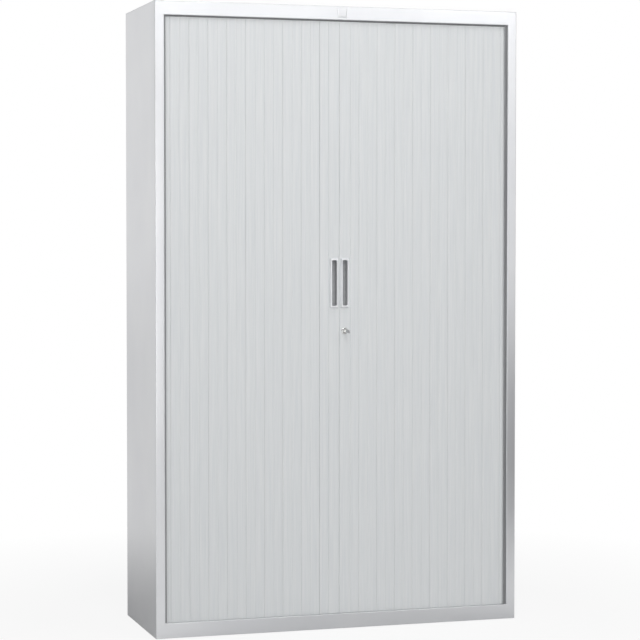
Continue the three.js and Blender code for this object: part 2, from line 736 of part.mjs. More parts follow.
const sides = { left: -1, right: 1 };
place("top_panel", topPanel(), paint);
place("bottom_panel", bottomPanel(), paint);
backPanels();
for (const [name, side] of Object.entries(sides)) {
  place(`${name}_side_panel`, sidePanel(side), paint);
  place(`${name}_lining`, lining(side), paint);
  place(
    `${name}_top_track`,
    track(side, topTrackZ, topTrackTop, topTrackZ - OVERRUN, topTrackZ + TOP_TRACK_DEPTH),
    trackGrey,
  );
  place(
    `${name}_bottom_track`,
    track(side, bottomTrackZ, bottomTrackTop, bottomTrackTop - BOTTOM_TRACK_DEPTH, bottomTrackTop + OVERRUN),
    trackGrey,
  );
  place(`${name}_lead_slat`, leadSlat(side), slatGrey);
  for (let index = 1; index <= SLAT_COUNT; index++)
    place(`${name}_slat_${index}`, slat(side, index), slatGrey);
  place(`${name}_corner_slat`, cornerSlat(side), slatGrey);
  handle(side, name);
  for (let index = 1; index <= SHELF_COUNT; index++)
    place(`${name}_bracket_${index}`, bracket(side, index), paint);
  place(`${name}_front_foot`, foot(side, -1), rubber);
  place(`${name}_back_foot`, foot(side, 1), rubber);
}
for (let index = 1; index <= SHELF_COUNT; index++) place(`shelf_${index}`, shelf(index), paint);
lock();
place("blank_plate", blankPlate(), silver);

export default new THREE.Group().add(cupboard);
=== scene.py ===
# %% [markdown]
# # A tambour cupboard
#
# A tall steel cupboard whose doors are curtains of plastic slats. This lesson dresses its measured
# solids: every visible piece gets a finer surface and a finish made of nodes, then the cupboard is
# lit and looked at from its left. The solids come first, because they say where each piece sits
# and which body it moves with.

# %% Load the measured solids
import math

import bmesh
import bpy
import numpy as np
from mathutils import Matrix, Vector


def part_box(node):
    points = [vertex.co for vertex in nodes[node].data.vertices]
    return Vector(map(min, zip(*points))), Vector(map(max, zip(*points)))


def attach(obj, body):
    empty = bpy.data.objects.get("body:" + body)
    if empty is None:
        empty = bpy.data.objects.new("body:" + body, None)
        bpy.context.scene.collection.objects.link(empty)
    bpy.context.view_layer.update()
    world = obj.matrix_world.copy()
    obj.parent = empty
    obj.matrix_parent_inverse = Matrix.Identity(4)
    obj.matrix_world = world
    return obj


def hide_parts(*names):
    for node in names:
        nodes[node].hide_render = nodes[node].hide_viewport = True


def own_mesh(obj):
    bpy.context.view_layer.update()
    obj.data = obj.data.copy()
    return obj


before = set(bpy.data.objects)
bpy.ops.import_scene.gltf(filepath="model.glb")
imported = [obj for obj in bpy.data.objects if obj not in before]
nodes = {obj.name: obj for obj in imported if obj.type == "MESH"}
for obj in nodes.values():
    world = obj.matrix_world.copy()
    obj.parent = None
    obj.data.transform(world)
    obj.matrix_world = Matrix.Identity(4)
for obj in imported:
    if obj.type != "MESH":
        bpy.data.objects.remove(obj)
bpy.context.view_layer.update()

# %% [markdown]
# The drawing is in millimetres, measured from the middle of the carcass and from the floor. The
# sheet is 1.2 mm thick everywhere, and pieces that touch stand 0.3 mm apart. Keeping the numbers of
# the drawing makes each profile below easy to compare with it. One function turns them into metres.

# %% Sizes of the carcass
WIDTH, DEPTH, HEIGHT = 1200.0, 430.0, 1980.0
SHEET = 1.2
FIT = 0.3
STILE = 30.0
FRONT, BACK = -DEPTH / 2, DEPTH / 2
OPENING = WIDTH / 2 - STILE
LIP = -206.5
BACK_PLATE = 212.3
FLOOR_GAP, LEDGE, PAN = 3.0, 50.0, 39.0
TOP_RAIL = 43.5
BACK_FLANGE, HEM = 20.0, 8.0
BEND = 0.9  # inside radius of every fold
RAIL_END = OPENING - 0.08
SIDES = {"left": -1, "right": 1}
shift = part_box("left_side_panel")[0].y * 1000 - FRONT
print("the carcass sits", round(shift, 2), "mm behind the middle of the whole depth")

# %% [markdown]
# ## Tools for surfaces
#
# Most pieces here are a closed outline carried along a path, or rings of different size joined
# to a skin. Both are grids of points: one direction runs round the outline, the other runs along
# the path. If the points lie in one array, the faces follow from their row and column numbers.


# %% A skin from a grid of points
def grid_skin(grid, closed=False):
    """Skin of a grid of points, rows x around x 3. The point (row, column) joins its neighbours
    (row + 1, column) and (row, column + 1), and the last column joins the first. The first and
    last rows get one face each, unless closed is set: then the last row joins the first."""
    rows, around = grid.shape[:2]
    row = np.arange(rows if closed else rows - 1)[:, None]
    column = np.arange(around)[None, :]
    near, far = row * around, (row + 1) % rows * around
    beside = (column + 1) % around
    quads = np.stack([near + column, near + beside, far + beside, far + column], -1)
    faces = quads.reshape(-1, 4).tolist()
    if not closed:
        faces += [list(range(around)), list(range((rows - 1) * around, rows * around))]
    return grid.reshape(-1, 3), faces


def carried(outline, start, end, along="z"):
    """The outline carried straight from start to end. Along z the outline is (x, y), along x it
    is (y, z), and along y it is (z, x); point = outline point + distance * direction."""
    axis = "xyz".index(along)
    grid = np.empty((2, len(outline), 3))
    grid[:, :, (axis + 1) % 3] = outline[:, 0]
    grid[:, :, (axis + 2) % 3] = outline[:, 1]
    grid[:, :, axis] = [[start], [end]]
    return grid_skin(grid)


# %% [markdown]
# Nothing bent or moulded has a knife edge. A corner is rounded by an arc that touches both of its
# sides: the arc starts at the corner's tangent distance, radius / tan(half the angle), and its
# centre lies on the line that halves the angle. All corners are worked out at once.


# %% Round the corners of an outline
def rounded(corners, radius, steps=5):
    """Closed outline with an arc in each corner. With unit vectors a and b towards the corner's
    neighbours and half the angle h between them, the arc's centre is corner + (a + b) / |a + b| *
    radius / sin h, and its points turn evenly from one tangent point to the other."""
    corners = np.asarray(corners, float)
    radius = np.broadcast_to(np.asarray(radius, float), len(corners))[:, None]
    a = np.roll(corners, 1, 0) - corners
    b = np.roll(corners, -1, 0) - corners
    length_a, length_b = np.linalg.norm(a, axis=1), np.linalg.norm(b, axis=1)
    a, b = a / length_a[:, None], b / length_b[:, None]
    half = np.arccos(np.clip((a * b).sum(1), -0.9999, 0.9999))[:, None] / 2
    room = 0.49 * np.minimum(length_a, length_b)[:, None]
    tangent = np.minimum(radius / np.tan(half), room)
    radius = np.maximum(tangent * np.tan(half), 1e-4)
    middle = (a + b) / np.linalg.norm(a + b, axis=1)[:, None]
    centre = corners + middle * radius / np.sin(half)
    first, last = corners + a * tangent - centre, corners + b * tangent - centre
    turn = np.pi - 2 * half[:, :, None]
    share = np.linspace(0, 1, steps)[None, :, None]
    arc = np.sin((1 - share) * turn) * first[:, None] + np.sin(share * turn) * last[:, None]
    return (centre[:, None] + arc / np.sin(turn)).reshape(-1, 2)


# %% [markdown]
# A press brake folds the sheet round a small radius, so the inside of each fold is nearly sharp
# and the outside is rounder by the thickness. The outline of a folded strip is its middle line
# moved half a thickness to either side.


# %% The outline of a folded sheet
def folded(line, edge=0.35):
    """Outline of a sheet folded along an open middle line. At a fold both outlines meet on the
    line that halves the fold, half a thickness / cos(half the turn) away from the middle line.
    The cut edges get a small radius."""
    line = np.asarray(line, float)
    run = np.diff(line, axis=0)
    run /= np.linalg.norm(run, axis=1)[:, None]
    side = np.stack([-run[:, 1], run[:, 0]], 1)
    before, after = np.vstack([side[:1], side]), np.vstack([side, side[-1:]])
    mitre = (before + after) / np.linalg.norm(before + after, axis=1)[:, None]
    reach = SHEET / 2 / (mitre * after).sum(1)[:, None]
    turn = np.zeros(len(line))
    turn[1:-1] = run[:-1, 0] * run[1:, 1] - run[:-1, 1] * run[1:, 0]
    radii = [np.where(turn * sign > 0, BEND, BEND + SHEET) for sign in (1, -1)]
    for one in radii:
        one[[0, -1]] = edge
    corners = np.vstack([line + mitre * reach, (line - mitre * reach)[::-1]])
    return rounded(corners, np.concatenate([radii[0], radii[1][::-1]]))


# %% [markdown]
# One function turns skins into a piece. It joins them in one mesh, brings the drawing's
# millimetres into the shared frame, turns all faces outwards, rounds the remaining hard edges
# with a Bevel and names the body that the piece moves with.


# %% Make a piece of the cupboard
MERGE = 2e-6  # metres between points that become one


def dress(mesh, finish, body, slot, stands_for, edge=0.0, segments=2, smooth=35):
    """Gives a mesh its finish, its rounded edges and the body it moves with."""
    bm = bmesh.new()
    bm.from_mesh(mesh)
    bmesh.ops.remove_doubles(bm, verts=bm.verts, dist=MERGE)
    bmesh.ops.recalc_face_normals(bm, faces=bm.faces)
    bm.to_mesh(mesh)
    bm.free()
    mesh.shade_smooth()
    mesh.set_sharp_from_angle(angle=math.radians(smooth))
    mesh.materials.clear()
    mesh.materials.append(finish)
    piece = bpy.data.objects.new(mesh.name, mesh)
    bpy.context.scene.collection.objects.link(piece)
    if edge:
        bevel = piece.modifiers.new("Rounded edges", "BEVEL")
        bevel.width, bevel.segments = edge / 1000, segments
        bevel.limit_method, bevel.angle_limit = "ANGLE", math.radians(smooth)
        even = piece.modifiers.new("Even shading", "WEIGHTED_NORMAL")
        even.keep_sharp = True
    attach(piece, body)
    if stands_for:
        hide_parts(stands_for)
    return piece


def make(name, skins, *looks, **more):
    """Joins skins given in millimetres from the carcass's middle to one piece in metres:
    metres = (millimetres + shift along y) / 1000."""
    points = np.concatenate([skin[0] for skin in skins]) + [0, shift, 0]
    first = np.cumsum([0] + [len(skin[0]) for skin in skins])
    faces = [[start + i for i in face] for start, skin in zip(first, skins) for face in skin[1]]
    mesh = bpy.data.meshes.new(name)
    mesh.from_pydata((points / 1000).tolist(), [], faces)
    return dress(mesh, *looks, **more)


# %% [markdown]
# Some solids already have the right form and only miss their small radii: pressed brackets,
# shelf trays, the lock's parts. A copy of the solid is merged, its triangles are dissolved into
# flat faces, and the same Bevel rounds it.


# %% Soften a solid's edges
def soften(node, name, *looks, moved=None, **more):
    """Copy of a solid with flat neighbouring triangles joined, ready for rounded edges. The
    function in moved may shift the copy's points, an array in metres, before that."""
    bm = bmesh.new()
    bm.from_mesh(nodes[node].data)
    bmesh.ops.remove_doubles(bm, verts=bm.verts, dist=MERGE)
    flat = math.radians(1)
    bmesh.ops.dissolve_limit(bm, angle_limit=flat, verts=bm.verts, edges=bm.edges)
    mesh = bpy.data.meshes.new(name)
    bm.to_mesh(mesh)
    bm.free()
    if moved:
        points = np.empty(len(mesh.vertices) * 3, np.float32)
        mesh.vertices.foreach_get("co", points)
        mesh.vertices.foreach_set("co", moved(points.reshape(-1, 3)).ravel())
    return dress(mesh, *looks, node, **more)


# %% [markdown]
# ## Finishes
#
# A finish is a Principled shader with three things that a flat colour lacks: tones that drift a
# little, a roughness that isn't even, and a fine relief. All of them come from noise in Object
# coordinates, which stays on the piece when it moves, with spots as large as the real ones.


# %% Tools for node materials
def tone(red, green, blue):
    """A screen colour of 0 to 255 as the linear colour that a shader wants: ((c + 0.055) /
    1.055) ^ 2.4, which is close enough above the darkest tones."""
    return (*((np.array([red, green, blue]) / 255 + 0.055) / 1.055) ** 2.4, 1.0)


NOISE_LOW, NOISE_HIGH = 0.3, 0.7  # nearly all of a noise lies between these


class Finish:
    """A material with a Principled shader and a few helpers for its node tree."""

    def __init__(self, name, roughness, metallic=0.0, specular=0.5):
        self.material = bpy.data.materials.new(name)
        self.material.use_nodes = True
        self.tree = self.material.node_tree
        self.shader = self.tree.nodes["Principled BSDF"]
        self.shader.inputs["Metallic"].default_value = metallic
        self.shader.inputs["Roughness"].default_value = roughness
        self.shader.inputs["Specular IOR Level"].default_value = specular
        self.place = self.tree.nodes.new("ShaderNodeTexCoord").outputs["Object"]

    def spots(self, size, stretch=(1, 1, 1), detail=2.0):
        """Noise with spots of this size in millimetres, drawn out along the axes by stretch."""
        turn = self.tree.nodes.new("ShaderNodeMapping")
        turn.inputs["Scale"].default_value = [1000 / size / s for s in stretch]
        noise = self.tree.nodes.new("ShaderNodeTexNoise")
        noise.inputs["Scale"].default_value = 1.0
        noise.inputs["Detail"].default_value = detail
        self.tree.links.new(self.place, turn.inputs["Vector"])
        self.tree.links.new(turn.outputs["Vector"], noise.inputs["Vector"])
        return noise.outputs["Fac"]

    def tones(self, share, low, high):
        """Colour between two tones."""
        ramp = self.tree.nodes.new("ShaderNodeValToRGB")
        stops = ramp.color_ramp.elements
        stops[0].position, stops[1].position = NOISE_LOW, NOISE_HIGH
        stops[0].color, stops[1].color = low, high
        self.tree.links.new(share, ramp.inputs["Fac"])
        self.tree.links.new(ramp.outputs["Color"], self.shader.inputs["Base Color"])

    def gloss(self, share, smooth, rough):
        """Roughness between two values."""
        spread = self.tree.nodes.new("ShaderNodeMapRange")
        ends = {"From Min": NOISE_LOW, "From Max": NOISE_HIGH, "To Min": smooth, "To Max": rough}
        for name, value in ends.items():
            spread.inputs[name].default_value = value
        self.tree.links.new(share, spread.inputs["Value"])
        self.tree.links.new(spread.outputs["Result"], self.shader.inputs["Roughness"])

    def relief(self, *heights):
        """Bumps laid over each other; each is a noise and its height in millimetres."""
        normal = None
        for share, height in heights:
            bump = self.tree.nodes.new("ShaderNodeBump")
            bump.inputs["Distance"].default_value = height / 1000
            bump.inputs["Strength"].default_value = 1.0
            self.tree.links.new(share, bump.inputs["Height"])
            if normal:
                self.tree.links.new(normal, bump.inputs["Normal"])
            normal = bump.outputs["Normal"]
        self.tree.links.new(normal, self.shader.inputs["Normal"])


# %% [markdown]
# The carcass is powder coated in a pale silver grey. The powder melts to a skin with a soft orange
# peel, and fine metal flakes in it make the sheet look bright where it mirrors a lamp and dull
# beside it. That is why the stiles change so much from top to bottom. A high Metallic gives this
# look with one shader. The tones and the gloss drift over hand-sized spots and only by a few
# hundredths, because a stronger change makes pressed sheet look dented.

# %% Powder coat
coat = Finish("silver_grey_powder_coat", 0.285, metallic=0.8)
coat.tones(coat.spots(260, detail=3), tone(212, 213, 216), tone(218, 219, 221))
coat.gloss(coat.spots(90, detail=1), 0.277, 0.293)
coat.relief((coat.spots(2.2), 0.006), (coat.spots(28), 0.03))
POWDER = coat.material

# %% [markdown]
# The slats are extruded plastic, a touch cooler than the steel. Extrusion leaves faint lines along
# the slat, so the noise is drawn out forty times along z. The skin is satin.

# %% Slat plastic
satin = Finish("extruded_slat_plastic", 0.5, specular=0.4)
satin.tones(satin.spots(5, (1, 1, 40), 3), tone(213, 216, 218), tone(220, 222, 223))
satin.gloss(satin.spots(14, (1, 1, 20)), 0.44, 0.54)
satin.relief((satin.spots(1.6, (1, 1, 60)), 0.010), (satin.spots(1.1), 0.006))
SLAT = satin.material

# %% [markdown]
# Four small finishes follow the same plan. The tracks are plain moulded plastic. The handle cups
# are grained, so dirt and scratches don't show. The key's head is worn by fingers, which makes its
# gloss uneven. The feet are rubber: dark, rough, and with almost no highlight. The seals are rubber
# too, and their grey is painted shade.

# %% Track plastic, dark plastic and rubber
slide = Finish("track_plastic", 0.55, specular=0.4)
slide.tones(slide.spots(30), tone(176, 179, 181), tone(184, 187, 189))
slide.gloss(slide.spots(6), 0.5, 0.6)
slide.relief((slide.spots(1.0), 0.008))
TRACK = slide.material

grained = Finish("grained_dark_plastic", 0.5)
grained.tones(grained.spots(12), tone(156, 157, 160), tone(166, 167, 169))
grained.gloss(grained.spots(3), 0.46, 0.58)
grained.relief((grained.spots(0.7, detail=1), 0.03))
DARK = grained.material

worn = Finish("worn_grey_plastic", 0.42)
worn.tones(worn.spots(5), tone(184, 185, 188), tone(196, 197, 199))
worn.gloss(worn.spots(2), 0.34, 0.5)
worn.relief((worn.spots(0.8, detail=1), 0.02))
GREY = worn.material

foot_rubber = Finish("foot_rubber", 0.75, specular=0.3)
foot_rubber.tones(foot_rubber.spots(8), tone(52, 52, 54), tone(62, 62, 64))
foot_rubber.gloss(foot_rubber.spots(2), 0.7, 0.85)
foot_rubber.relief((foot_rubber.spots(0.9), 0.03))
RUBBER = foot_rubber.material

# The grey of this rubber is painted shade: it darkens the strips round the curtain like the shadow
# of the gap.
dark_shade_rubber = Finish("dark_shade_rubber", 0.7, specular=0.3)
dark_shade_rubber.tones(dark_shade_rubber.spots(6, (1, 1, 30)), tone(130, 131, 133), tone(142, 143, 145))
dark_shade_rubber.gloss(dark_shade_rubber.spots(3), 0.62, 0.78)
dark_shade_rubber.relief((dark_shade_rubber.spots(0.8, (1, 1, 8)), 0.01))
PAINTED_SHADE = dark_shade_rubber.material

# %% [markdown]
# The trim round the handles is silver lacquer over plastic: half metallic, with a soft blur. The
# plate on the top rail has the same lacquer a little darker, so that it hardly stands out of the
# rail. The lock is nickel plated and polished. It mirrors the lamps as small bright spots and the
# dark room as grey beside them, and has fine hairlines from wiping.

# %% Silver trim and nickel
def silver(name, dark, bright):
    """Silver lacquer between two tones."""
    lacquer = Finish(name, 0.36, metallic=0.4)
    lacquer.tones(lacquer.spots(40), dark, bright)
    lacquer.gloss(lacquer.spots(4), 0.32, 0.4)
    lacquer.relief((lacquer.spots(0.6), 0.004))
    return lacquer.material


SILVER = silver("silver_lacquer", tone(236, 237, 240), tone(242, 243, 245))
PLATE = silver("plate_lacquer", tone(219, 220, 223), tone(225, 226, 228))

nickel = Finish("nickel_plate", 0.18, metallic=1.0)
nickel.tones(nickel.spots(9), tone(232, 232, 231), tone(238, 238, 237))
nickel.gloss(nickel.spots(0.8, (6, 1, 1)), 0.14, 0.22)
nickel.relief((nickel.spots(0.35, (12, 1, 1)), 0.002))
NICKEL = nickel.material
print(len(bpy.data.materials), "finishes")

# %% [markdown]
# ## The carcass
#
# A side is one sheet with three folds in plan: an inner lip that hides the curtain's edge, the
# stile that shows at the front, the side itself, and a flange for the back. Its section is
# carried from bottom to top.

# %% Side panels
h = SHEET / 2  # the middle line of a sheet lies this far inside its face
side_line = np.array(
    [
        (OPENING + h, LIP),
        (OPENING + h, FRONT + h),
        (WIDTH / 2 - h, FRONT + h),
        (WIDTH / 2 - h, BACK - h),
        (WIDTH / 2 - BACK_FLANGE, BACK - h),
    ]
)
for side, sign in SIDES.items():
    outline = folded(side_line) * [sign, 1]
    skin = carried(outline, FLOOR_GAP, HEIGHT - SHEET - FIT)
    make(f"{side}_side_sheet", [skin], POWDER, "cabinet", "carcass", f"{side}_side_panel", edge=0.3)
print("side section:", len(outline), "points")

# %% [markdown]
# The roof and the front rail are one sheet too, folded across the cupboard. The folds run only
# between the stiles. Over each stile the roof is a flat strip.

# %% Roof with its front rail
roof_line = [
    (LIP, HEIGHT - TOP_RAIL + h),
    (FRONT + h, HEIGHT - TOP_RAIL + h),
    (FRONT + h, HEIGHT - h),
    (BACK - h, HEIGHT - h),
    (BACK - h, HEIGHT - BACK_FLANGE),
]
strips = [carried(folded(roof_line), -RAIL_END, RAIL_END, "x")]
end_line = [(FRONT, HEIGHT - SHEET), (BACK, HEIGHT - SHEET), (BACK, HEIGHT), (FRONT, HEIGHT)]
for sign in SIDES.values():
    strips.append(carried(rounded(end_line, 0.4, 3), sign * RAIL_END, sign * WIDTH / 2, "x"))
low, high = HEIGHT - BACK_FLANGE, HEIGHT - 2
flange = np.array([(BACK - SHEET, low), (BACK, low), (BACK, high), (BACK - SHEET, high)])
for sign in SIDES.values():
    end = sign * (WIDTH / 2 - BACK_FLANGE - FIT)
    strips.append(carried(flange, sign * RAIL_END, end, "x"))
make("roof_and_rail", strips, POWDER, "cabinet", "carcass", "top_panel", edge=0.15)

# %% [markdown]
# The floor of the cupboard starts as the front rail, folds back to a ledge below the curtain,
# steps down to the pan that carries the files, and ends in a turned-down edge at the back.

# %% Floor pan with its front rail
step = LIP - h
pan_line = [
    (FRONT + HEM, FLOOR_GAP + h),
    (FRONT + h, FLOOR_GAP + h),
    (FRONT + h, LEDGE - h),
    (step, LEDGE - h),
    (step, PAN - h),
    (BACK_PLATE - FIT - h, PAN - h),
    (BACK_PLATE - FIT - h, FLOOR_GAP + h),
    (BACK_PLATE - FIT - HEM, FLOOR_GAP + h),
]
strips = [carried(folded(pan_line), -RAIL_END, RAIL_END, "x")]
low, high = LIP + FIT, BACK_PLATE - FIT
end_line = [(low, PAN - SHEET), (high, PAN - SHEET), (high, PAN), (low, PAN)]
for sign in SIDES.values():
    end = sign * (WIDTH / 2 - SHEET - FIT)
    strips.append(carried(rounded(end_line, 0.3, 3), sign * RAIL_END, end, "x"))
make("floor_pan_and_rail", strips, POWDER, "cabinet", "carcass", "bottom_panel", edge=0.15)

# %% [markdown]
# The rails meet the stiles in a small valley, because the stile's fold is round. On the real
# cupboard this corner is welded and ground flush. The weld's section fills the valley up to the
# plane of the front: six points, carried up the height of each rail.

# %% Welds at the front corners
fold = BEND + SHEET
weld = np.array(
    [(-0.25, 0.01), (fold + 0.2, 0.01), (fold + 0.2, 0.3), (0.62, 0.62), (0.2, fold), (-0.25, fold)]
) + [OPENING, FRONT]
strips = [
    carried(weld * [sign, 1], low, high)
    for sign in SIDES.values()
    for low, high in ((FLOOR_GAP + 1, LEDGE - BEND), (HEIGHT - TOP_RAIL + BEND, HEIGHT - fold))
]
make("front_corner_welds", strips, POWDER, "cabinet", "carcass", stands_for=[])
print(len(strips), "welds")

# %% [markdown]
# The flat backs and the slotted linings are plain sheets. Their solids are right as they are, so
# only their cut edges are broken. The same goes for the shelves, pressed as trays, and for the
# brackets that hook into the slots.

# %% Backs, linings, shelves and brackets
for name in ("back_panel", "inner_back_panel"):
    soften(name, f"{name}_sheet", POWDER, "cabinet", "carcass", edge=0.3)
for side in SIDES:
    soften(f"{side}_lining", f"{side}_slotted_sheet", POWDER, "cabinet", "carcass", edge=0.2)
    for level in range(1, 5):
        name = f"{side}_bracket_{level}"
        soften(name, f"{side}_shelf_hook_{level}", POWDER, "cabinet", "carcass", edge=0.35)
for level in range(1, 5):
    soften(f"shelf_{level}", f"shelf_tray_{level}", POWDER, "cabinet", "carcass", edge=0.5)

# %% [markdown]
# The four tracks are plastic channels that lead the curtain round the corners. They lie deep in
# the carcass, so their solids stay and get the track plastic.

# %% Tracks keep their solids
for side in SIDES:
    for place in ("top", "bottom"):
        for holder in nodes[f"{side}_{place}_track"].material_slots:
            holder.material = TRACK

# %% [markdown]
# ## The curtains
#
# Each slat is two staves joined by a thin hinge of plastic. A stave's front is nearly flat and
# falls off at both edges, which a superellipse gives: the drop is edge * (1 - sqrt(1 - |s|^n)),
# with s running from -1 to 1 across the stave. Neighbouring slats hook together with a tongue in
# a slot.

# %% The section of a slat
THICK = 8.0
CURTAIN = -199.0
PITCH = 60.5
STAVE_DROP = 0.7
LEAD_END = 65.8
HALF_JOINT = 0.15  # half the gap between two slats
PLAY = 0.1  # a slat is this much thinner on each side than the lead slat it slips into
TONGUE, TONGUE_HALF = 3.2, 1.2  # its reach and half its thickness
SLOT, SLOT_HALF = 3.1, 1.5
SLIT_HALF = 0.7


def stave_front(start, end, front, steps=15, power=9):
    """Front of a stave from start to end, as (s, d) points: s runs along the curtain, d is the
    distance from its middle layer, negative to the front. The points crowd at the edges."""
    across = np.sin(np.linspace(-np.pi / 2, np.pi / 2, steps))
    drop = STAVE_DROP * (1 - np.sqrt(1 - np.abs(across) ** power))
    return np.stack([(start + end) / 2 + across * (end - start) / 2, front + drop], 1)


def slat_section(start, end):
    """Closed (s, d) outline of a slat: two stave fronts, the slot at its far edge, the slit of
    the hinge behind its middle, and the tongue at its near edge. The back edges are cut off by
    0.6 mm and the tongue's by 0.4 mm, and the slit leaves 2.7 mm of plastic at the front."""
    middle = (start + end) / 2
    front, back = PLAY - THICK / 2, THICK / 2 - PLAY
    cut, web = back - 0.6, front + 2.7
    slot, reach = end - SLOT, start - TONGUE
    rear = [
        (end, -SLOT_HALF), (slot, -SLOT_HALF), (slot, SLOT_HALF), (end, SLOT_HALF),
        (end, cut), (end - 0.6, back),
        (middle + SLIT_HALF + 0.6, back), (middle + SLIT_HALF, cut), (middle + SLIT_HALF, web),
        (middle - SLIT_HALF, web), (middle - SLIT_HALF, cut), (middle - SLIT_HALF - 0.6, back),
        (start + 0.6, back), (start, cut),
        (start, TONGUE_HALF), (reach + 0.4, TONGUE_HALF), (reach, TONGUE_HALF - 0.4),
        (reach, 0.4 - TONGUE_HALF), (reach + 0.4, -TONGUE_HALF), (start, -TONGUE_HALF),
    ]
    fronts = [stave_front(start, middle, front), stave_front(middle, end, front)[1:]]
    return np.vstack([*fronts, rear])


# %% [markdown]
# The curtain's path is straight along the front, turns a quarter round the corner and runs on into
# the side. A slat that is drawn flat can be bent onto this path: its distance along the curtain
# becomes an angle round the corner's centre, its depth becomes a radius. All slats are equally
# high, and their ends reach into the tracks.


# %% Lay a section on the curtain's path
CORNER_X, CORNER_R = 549.8, 35.2
SLAT_LOW, SLAT_HIGH = 42.8, 1969.8


def on_path(section, sign):
    """(s, d) to plan (x, y). Before the corner x = s, y = curtain + d. Round it, with the angle
    a = (s - corner) / radius, x = corner + (radius - d) sin a and y = centre - (radius - d) cos a.
    After a quarter turn the rest runs straight back."""
    s, d = section[:, 0], section[:, 1]
    beyond = np.maximum(s - CORNER_X, 0)
    angle = np.minimum(beyond / CORNER_R, np.pi / 2)
    rest = beyond - angle * CORNER_R
    radius = CORNER_R - d
    x = np.minimum(s, CORNER_X) + radius * np.sin(angle)
    y = CURTAIN + CORNER_R - radius * np.cos(angle) + rest
    return np.stack([sign * x, y], 1)


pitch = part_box("left_slat_2")[0].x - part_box("left_slat_3")[0].x
print("slat pitch in the solids:", round(pitch * 1000, 2), "mm")

# %% [markdown]
# Seven slats on each side move with the door, each a little less than the one before, and the
# eighth stays. On the real cupboard they run round the corner. Here they gather at the edge of the
# opening: each slat narrows to a fiftieth of its width, 1.2 mm, as the door opens, and the strips
# end side by side inside the lead slat. The point that a slat narrows towards lies 7.2 mm inside
# its outer edge for the seventh, and 0.8 mm more for each slat nearer to the middle, so neighbours
# never run into each other. The eighth narrows to a twentieth, close to the corner.

# %% Slats of both curtains
for side, sign in SIDES.items():
    for number in range(1, 9):
        start = LEAD_END + (number - 1) * PITCH
        section = slat_section(start + HALF_JOINT, start + PITCH - HALF_JOINT)
        skin = carried(on_path(section, sign), SLAT_LOW, SLAT_HIGH)
        body = f"{side}_slat_body_{number}" if number < 8 else "cabinet"
        slat = make(f"{side}_stave_pair_{number}", [skin], SLAT, body, "slats",
                    f"{side}_slat_{number}", smooth=40)
        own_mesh(slat)
print("points round a slat:", len(section))

# %% [markdown]
# The corner slat is always bent, with its hinge half way round. It is drawn flat like the others,
# with more points across, and then laid on the path. Its slit ends 1.3 mm before the middle layer.

# %% Corner slats
for side, sign in SIDES.items():
    length = CORNER_R * np.pi / 2 + 2.5
    start, end = CORNER_X + 0.2, CORNER_X + length
    middle = (start + end) / 2
    front = np.vstack([stave_front(start, middle, -THICK / 2, 41),
                       stave_front(middle, end, -THICK / 2, 41)[1:]])
    right, left = middle + SLIT_HALF, middle - SLIT_HALF
    slit = [(right, THICK / 2), (right, -1.3), (left, -1.3), (left, THICK / 2)]
    back_line = np.linspace(end, start, 60)
    back_line = back_line[np.abs(back_line - middle) > 1.2]
    back = np.stack([back_line, np.full(len(back_line), THICK / 2)], 1)
    half = len(back) // 2
    reach = start - TONGUE
    tongue = [(start, TONGUE_HALF), (reach, TONGUE_HALF), (reach, -TONGUE_HALF),
              (start, -TONGUE_HALF)]
    section = np.vstack([front, back[:half], slit, back[half:], tongue])
    skin = carried(on_path(section, sign), SLAT_LOW, SLAT_HIGH)
    make(f"{side}_bent_slat", [skin], SLAT, "cabinet", "slats", f"{side}_corner_slat", smooth=40)

# %% [markdown]
# A soft seal is pushed over the inner lip of each stile and of the top rail. Its grey is painted
# shade: its thin blade reaches over the curtain's edge and shows as a dark line round the curtain,
# the shadow of the gap between frame and curtain. It is a section of ten points: u runs from the
# lip's face into the opening, y to the back. At the stiles x is the half opening less u, at the
# rail z is the rail's underside less u.

# %% Edge seals with painted shade
def strip_profile(blade):
    """Closed (u, y) outline of a clip over a lip, with a blade of this length."""
    corners = [
        (-2.0, -209.0), (-2.0, -205.0), (blade, -205.0), (blade, -206.2), (0.7, -206.3),
        (0.7, -209.0), (0.1, -209.0), (0.1, -205.9), (-1.4, -205.9), (-1.4, -209.0),
    ]
    return rounded(corners, [0.25, 0.5, 0.5, 0.5, 0.4, 0.25, 0.25, 0.1, 0.1, 0.25], 4)


SIDE_BLADE, TOP_BLADE = 5.8, 4.2
seal = strip_profile(SIDE_BLADE)
for side, sign in SIDES.items():
    upright = np.stack([sign * (OPENING - seal[:, 0]), seal[:, 1]], 1)
    make(f"{side}_edge_seal", [carried(upright, LEDGE + 0.5, HEIGHT - TOP_RAIL - 0.5)],
         PAINTED_SHADE, "cabinet", "feet", [], smooth=50)
seal = strip_profile(TOP_BLADE)
level = np.stack([seal[:, 1], HEIGHT - TOP_RAIL - seal[:, 0]], 1)
reach = OPENING - SIDE_BLADE - 0.2
make("top_edge_seal", [carried(level, -reach, reach, "x")], PAINTED_SHADE, "cabinet", "feet", [], smooth=50)

# %% [markdown]
# The lead slats are the thick edges of both curtains. They carry the handles, and the right one
# carries the lock. Their solids already have the cut-outs, so they are softened copies. The solids
# stop about half a millimetre short of each joint, which would show as wide dark lines, so the
# edges of the copies are moved closer.

# %% Lead slats
SEAM_ZONE, SEAM_GAP = 0.6, 0.2


def close_seams(points):
    """Points in the seam zone beside the middle come to the seam gap from it, and those in the
    zone beside the next slat come to the seam gap from that joint."""
    across = np.abs(points[:, 0]) * 1000
    outer = np.where(across > LEAD_END - SEAM_ZONE, LEAD_END - SEAM_GAP, across)
    across = np.where(across < SEAM_ZONE, SEAM_GAP, outer)
    points[:, 0] = np.sign(points[:, 0]) * across / 1000
    return points


